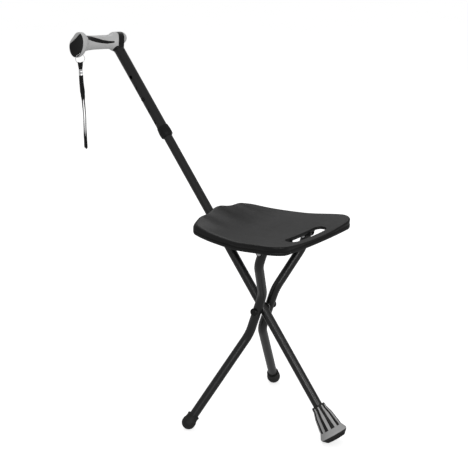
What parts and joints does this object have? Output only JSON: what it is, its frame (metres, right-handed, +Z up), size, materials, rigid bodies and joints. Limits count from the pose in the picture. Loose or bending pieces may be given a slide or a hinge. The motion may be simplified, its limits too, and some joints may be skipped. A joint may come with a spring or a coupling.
{
  "type": "walking stick seat",
  "caption": "Folding walking stick that opens into a tripod seat: tubular stick with palm handle and wrist strap, two crossing legs and a moulded seat with a carry slot.",
  "frame": {"origin": "centre of the footprint on the floor, strap left out", "axes": "+X to the front of the seat and the stick's tip, +Y to the seat's left, +Z up"},
  "size_m": [0.6418, 0.3144, 0.7831],
  "materials": {
    "black_tube": "satin black coating",
    "seat_plastic": "fine grained, satin",
    "grey_grip": "smooth, satin",
    "black_plastic": "moulded, slightly glossy",
    "black_rubber": "matt",
    "grey_plastic": "satin",
    "steel": "zinc plated",
    "ring_steel": "bright",
    "bright_alloy": "plain turned bar",
    "webbing": "woven webbing"
  },
  "bodies": {
    "stick": {"main_tube": "black_tube", "main_tube_plug": "black_plastic", "hub_rivet": "black_plastic", "hub_washers": "steel", "catch_pin": "steel", "stick_tip_bell": "black_rubber", "stick_tip_band": "grey_plastic", "stick_tip_tread": "black_rubber", "stick_tip_washer": "steel"},
    "upper_stick": {"upper_tube": "black_tube", "handle_neck": "black_plastic", "handle_neck_pin": "steel", "handle_spindle": "bright_alloy", "handle_grip": "grey_grip", "handle_inlay": "black_plastic", "handle_end_insert": "black_plastic", "handle_knob": "grey_grip"},
    "lock_collar": {"lock_collar": "black_plastic", "collar_bush": "grey_plastic"},
    "button": {"snap_button": "black_plastic", "button_spring": "steel"},
    "right_leg": {"right_leg_tube": "black_tube", "right_leg_plug": "black_plastic", "right_leg_tip": "black_rubber"},
    "left_leg": {"left_leg_tube": "black_tube", "left_leg_plug": "black_plastic", "left_leg_tip": "black_rubber"},
    "seat": {"seat_shell": "seat_plastic", "right_seat_bracket": "black_plastic", "left_seat_bracket": "black_plastic", "right_seat_pin": "steel", "left_seat_pin": "steel", "seat_screws": "steel", "seat_catch": "black_plastic"},
    "strap": {"split_ring": "ring_steel", "strap_tab": "webbing", "strap_crimp": "ring_steel", "wrist_strap": "webbing"}
  },
  "joints": [
    {"name": "right_leg_fold", "type": "hinge", "parent": "stick", "child": "right_leg", "pos_m": [0.11472, 0, 0.24642], "axis": [0, -1, 0], "range_deg": [0, 57.5]},
    {"name": "left_leg_fold", "type": "hinge", "parent": "stick", "child": "left_leg", "pos_m": [0.11472, 0, 0.24642], "axis": [0, -1, 0], "range_deg": [0, 57.5]},
    {"name": "seat_turn", "type": "hinge", "parent": "right_leg", "child": "seat", "pos_m": [0.16937, 0, 0.40158], "axis": [0, 1, 0], "range_deg": [0, 106.95]},
    {"name": "height_slide", "type": "slide", "parent": "stick", "child": "upper_stick", "axis": [-0.6307, 0, 0.776], "range_m": [-0.055, 0.055], "deforming": ["snap_button"]},
    {"name": "collar_turn", "type": "hinge", "parent": "upper_stick", "child": "lock_collar", "pos_m": [-0.15104, 0, 0.57344], "axis": [-0.6307, 0, 0.776], "range_deg": [-90, 90]},
    {"name": "button_press", "type": "slide", "parent": "stick", "child": "button", "axis": [0, 1, 0], "range_m": [0, 0.0039], "stiffness_N_per_m": 900, "springref_m": -0.003, "deforming": ["button_spring"]},
    {"name": "strap_swing", "type": "hinge", "parent": "upper_stick", "child": "strap", "pos_m": [-0.28664, -0.10833, 0.72903], "axis": [0.9063, -0.4226, 0], "range_deg": [-25, 25]}
  ],
  "couplings": [
    {"joint": "left_leg_fold", "follows": "right_leg_fold", "ratio": 1},
    {"joint": "seat_turn", "follows": "right_leg_fold", "ratio": 1.86}
  ]
}
